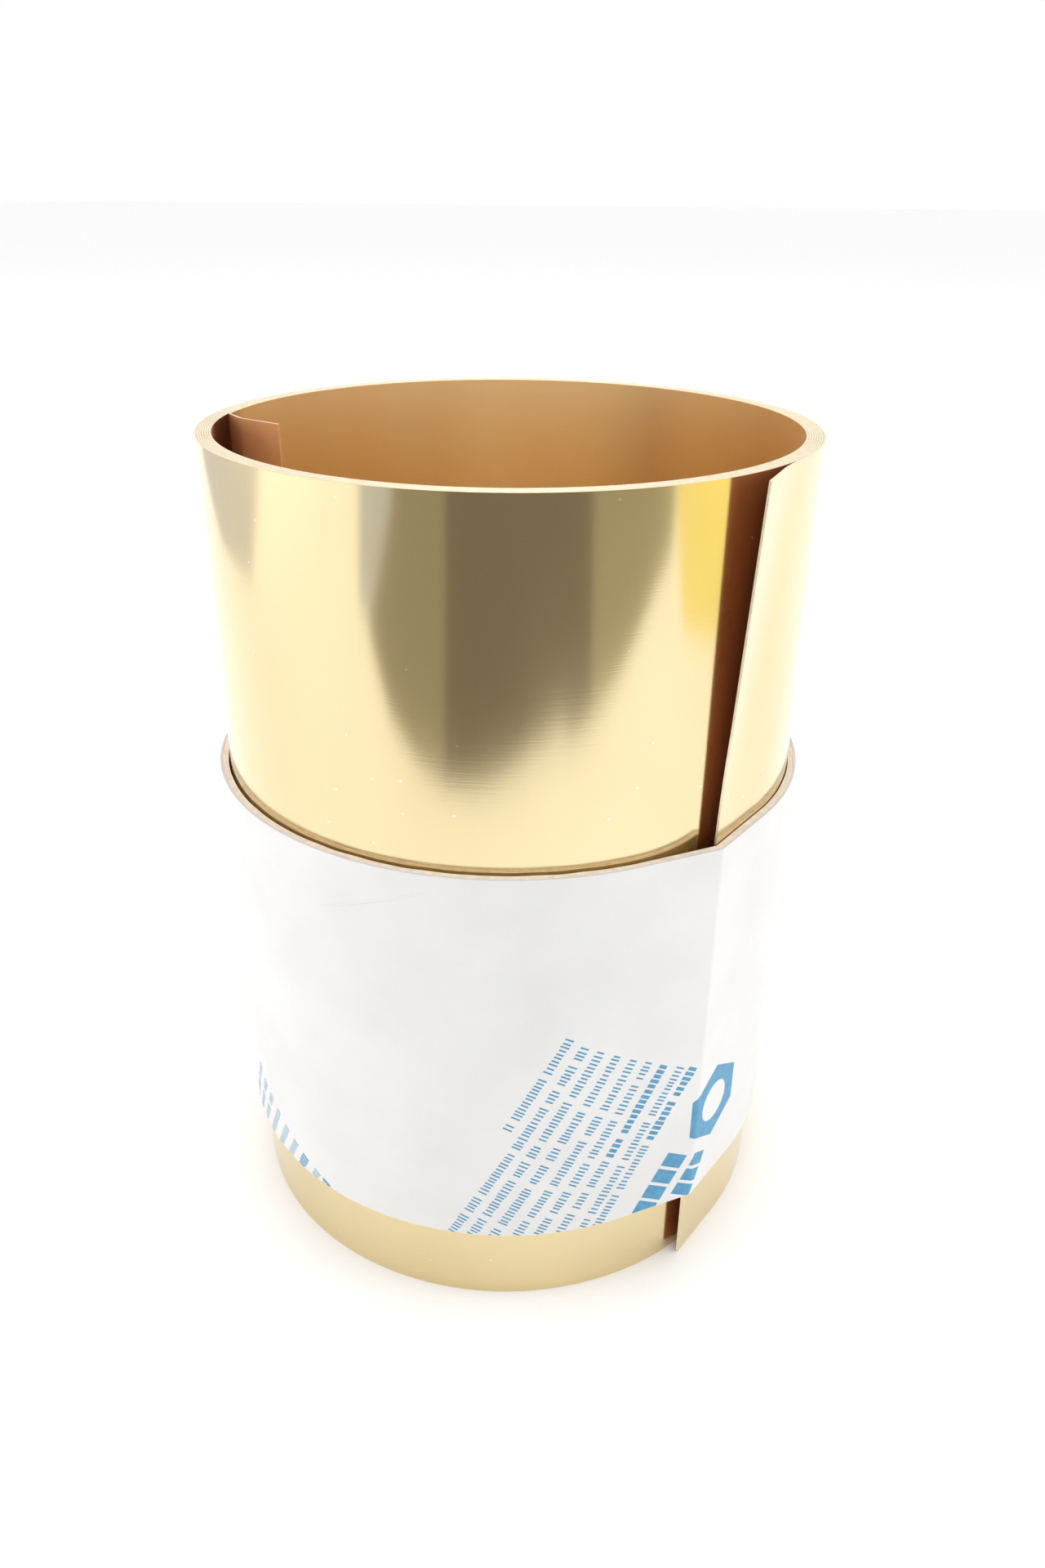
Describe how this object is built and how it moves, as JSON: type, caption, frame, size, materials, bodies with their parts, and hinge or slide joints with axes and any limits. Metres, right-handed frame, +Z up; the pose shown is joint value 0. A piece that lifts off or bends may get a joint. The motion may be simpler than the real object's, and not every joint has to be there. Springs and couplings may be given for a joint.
{
  "type": "brass shim roll",
  "caption": "Open coil of thin brass strip standing on edge, held by a paper band, with its inner end bent into the hollow and a free outer corner.",
  "frame": {"origin": "on the coil's axis, at its bottom edge", "axes": "+Z up along the coil's axis; the strip's free outer end is at about 52 degrees from +X towards -Y"},
  "size_m": [0.1102, 0.1102, 0.1524],
  "materials": {
    "brass_strip": "bright rolled",
    "backing_paper": "matte",
    "printed_paper": "satin"
  },
  "bodies": {
    "coil": {"foil_coil": "brass_strip"},
    "inner_tab": {"foil_inner_tab": "brass_strip"},
    "outer_corner": {"foil_outer_corner": "brass_strip"},
    "band": {"band_backing_turns": "backing_paper", "band_printed_turns": "printed_paper"}
  },
  "joints": [
    {"name": "inner_tab_bend", "type": "hinge", "parent": "coil", "child": "inner_tab", "pos_m": [-0.0499, 0.00622, 0.0762], "axis": [0, 0, 1], "range_deg": [-33, 15], "stiffness_Nm_per_rad": 0.5},
    {"name": "outer_corner_bend", "type": "hinge", "parent": "coil", "child": "outer_corner", "pos_m": [0.03375, -0.04362, 0.0939], "axis": [0.1395, 0.1824, 0.9733], "range_deg": [-8.5, 20], "stiffness_Nm_per_rad": 0.3},
    {"name": "band_slide", "type": "slide", "parent": "coil", "child": "band", "axis": [0, 0, 1], "range_m": [-0.017, 0]}
  ]
}
